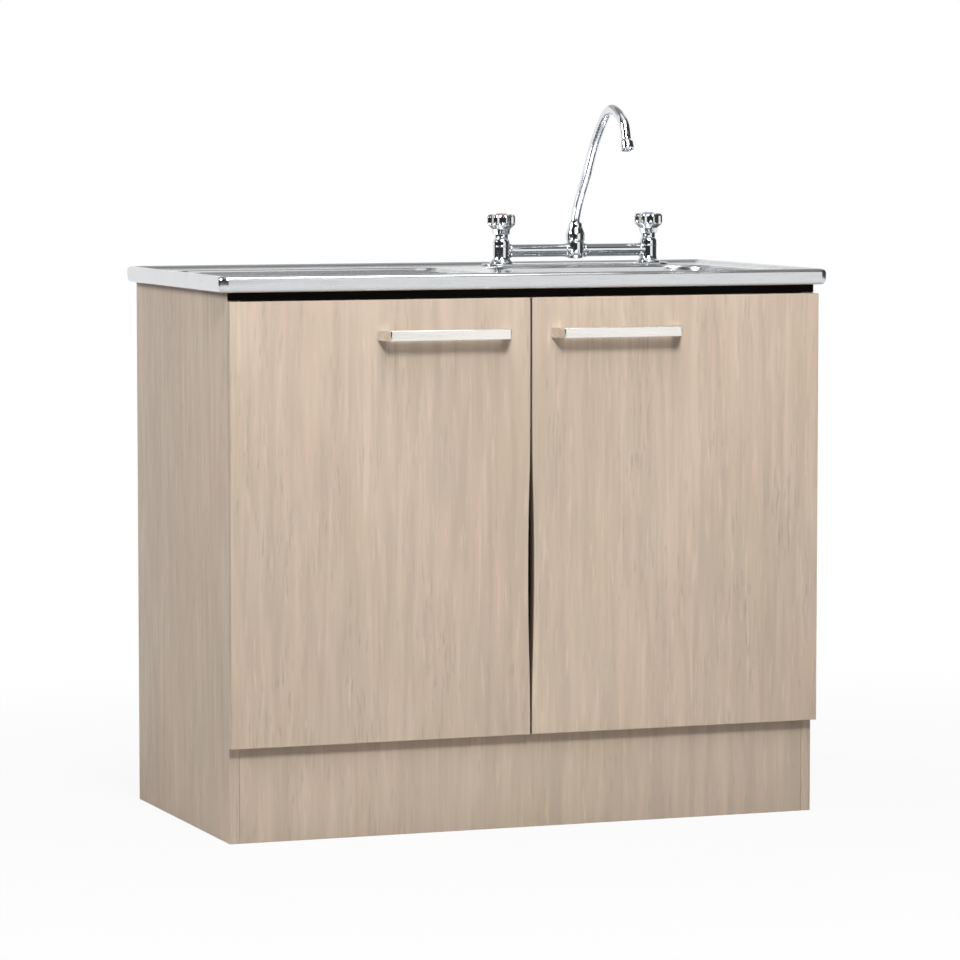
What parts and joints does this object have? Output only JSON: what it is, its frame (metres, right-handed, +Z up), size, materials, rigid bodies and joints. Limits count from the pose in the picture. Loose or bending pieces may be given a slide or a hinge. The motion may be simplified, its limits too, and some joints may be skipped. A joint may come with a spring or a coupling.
{
  "type": "kitchen sink unit",
  "caption": "Free-standing two-door base cabinet in pale oak board with a pressed steel sink top, drainer and bowl, a bridge mixer tap, basket waste and bottle trap.",
  "frame": {"origin": "on the floor, under the middle of the unit's box, bar handles included", "axes": "+X to the right seen from the front, +Y to the back, +Z up; the doors face -Y"},
  "size_m": [1, 0.5364, 1.1172],
  "materials": {
    "oak_board": "pale sandy oak melamine with a fine vertical grain, matt",
    "back_board": "thin painted hardboard",
    "black_rail": "satin black",
    "stainless": "pressed stainless sheet, fine brushed",
    "satin_bar": "satin nickel",
    "chrome": "polished chrome plate",
    "nickel": "nickel-plated steel",
    "brass": "raw brass",
    "rubber": "black rubber",
    "white_plastic": "white moulded plastic",
    "hot_cap": "plain red cap",
    "cold_cap": "plain blue cap"
  },
  "bodies": {
    "cabinet": {"side_panel_left": "oak_board", "side_panel_right": "oak_board", "plinth_board": "oak_board", "bottom_panel": "oak_board", "back_panel": "back_board", "rear_rail": "oak_board", "front_rail": "black_rail", "top_bracket_left": "white_plastic", "top_bracket_right": "white_plastic", "sink_top": "stainless", "hinge_arm_left_lower": "nickel", "hinge_arm_left_upper": "nickel", "hinge_arm_right_lower": "nickel", "hinge_arm_right_upper": "nickel", "hinge_plate_left_lower": "nickel", "hinge_plate_left_upper": "nickel", "hinge_plate_right_lower": "nickel", "hinge_plate_right_upper": "nickel", "tap_deck_plate": "chrome", "tap_body": "chrome", "spout_nut": "chrome", "tap_headwork_hot": "chrome", "tap_headwork_cold": "chrome", "tap_shank_hot": "brass", "tap_shank_cold": "brass", "tap_backnut_hot": "brass", "tap_backnut_cold": "brass", "strainer_body": "stainless", "strainer_gasket": "rubber", "strainer_locknut": "white_plastic", "tailpiece": "white_plastic", "tailpiece_nut": "white_plastic", "trap_body": "white_plastic", "trap_cup": "white_plastic", "outlet_pipe": "white_plastic", "outlet_nut": "white_plastic"},
    "left_upper_link": {"hinge_link_left_upper": "nickel"},
    "left_lower_link": {"hinge_link_left_lower": "nickel"},
    "left_door": {"door_left": "oak_board", "handle_left": "satin_bar", "handle_screw_left_1": "nickel", "handle_screw_left_2": "nickel", "hinge_cup_left_lower": "nickel", "hinge_cup_left_upper": "nickel"},
    "right_upper_link": {"hinge_link_right_upper": "nickel"},
    "right_lower_link": {"hinge_link_right_lower": "nickel"},
    "right_door": {"door_right": "oak_board", "handle_right": "satin_bar", "handle_screw_right_1": "nickel", "handle_screw_right_2": "nickel", "hinge_cup_right_lower": "nickel", "hinge_cup_right_upper": "nickel"},
    "swivel_spout": {"spout": "chrome", "spout_aerator": "chrome"},
    "hot_knob": {"tap_handle_hot": "chrome", "tap_index_hot": "hot_cap"},
    "cold_knob": {"tap_handle_cold": "chrome", "tap_index_cold": "cold_cap"},
    "basket": {"strainer_basket": "stainless"}
  },
  "joints": [
    {"name": "left_upper_link_swing", "type": "hinge", "parent": "cabinet", "child": "left_upper_link", "pos_m": [-0.45, -0.22385, 0.7255], "axis": [0, 0, 1], "range_deg": [0, 49]},
    {"name": "left_door_swing", "type": "hinge", "parent": "left_upper_link", "child": "left_door", "pos_m": [-0.4725, -0.22485, 0.7255], "axis": [0, 0, 1], "range_deg": [-147, 0]},
    {"name": "left_lower_link_swing", "type": "hinge", "parent": "cabinet", "child": "left_lower_link", "pos_m": [-0.45, -0.22385, 0.243], "axis": [0, 0, 1], "range_deg": [0, 49]},
    {"name": "right_upper_link_swing", "type": "hinge", "parent": "cabinet", "child": "right_upper_link", "pos_m": [0.45, -0.22385, 0.7255], "axis": [0, 0, 1], "range_deg": [-49, 0]},
    {"name": "right_door_swing", "type": "hinge", "parent": "right_upper_link", "child": "right_door", "pos_m": [0.4725, -0.22485, 0.7255], "axis": [0, 0, 1], "range_deg": [0, 147]},
    {"name": "right_lower_link_swing", "type": "hinge", "parent": "cabinet", "child": "right_lower_link", "pos_m": [0.45, -0.22385, 0.243], "axis": [0, 0, 1], "range_deg": [-49, 0]},
    {"name": "spout_swivel", "type": "hinge", "parent": "cabinet", "child": "swivel_spout", "pos_m": [0.251, 0.21015, 0.91], "axis": [0, 0, 1], "range_deg": [-110, 110]},
    {"name": "hot_knob_turn", "type": "hinge", "parent": "cabinet", "child": "hot_knob", "pos_m": [0.121, 0.21015, 0.92], "axis": [0, 0, 1], "range_deg": [0, 180]},
    {"name": "cold_knob_turn", "type": "hinge", "parent": "cabinet", "child": "cold_knob", "pos_m": [0.381, 0.21015, 0.92], "axis": [0, 0, 1], "range_deg": [0, 180]},
    {"name": "basket_lift", "type": "slide", "parent": "cabinet", "child": "basket", "axis": [0, 0, 1], "range_m": [0, 0.25]}
  ],
  "couplings": [
    {"joint": "left_upper_link_swing", "follows": "left_door_swing", "ratio": -0.33333},
    {"joint": "left_lower_link_swing", "follows": "left_door_swing", "ratio": -0.33333},
    {"joint": "right_upper_link_swing", "follows": "right_door_swing", "ratio": -0.33333},
    {"joint": "right_lower_link_swing", "follows": "right_door_swing", "ratio": -0.33333}
  ]
}
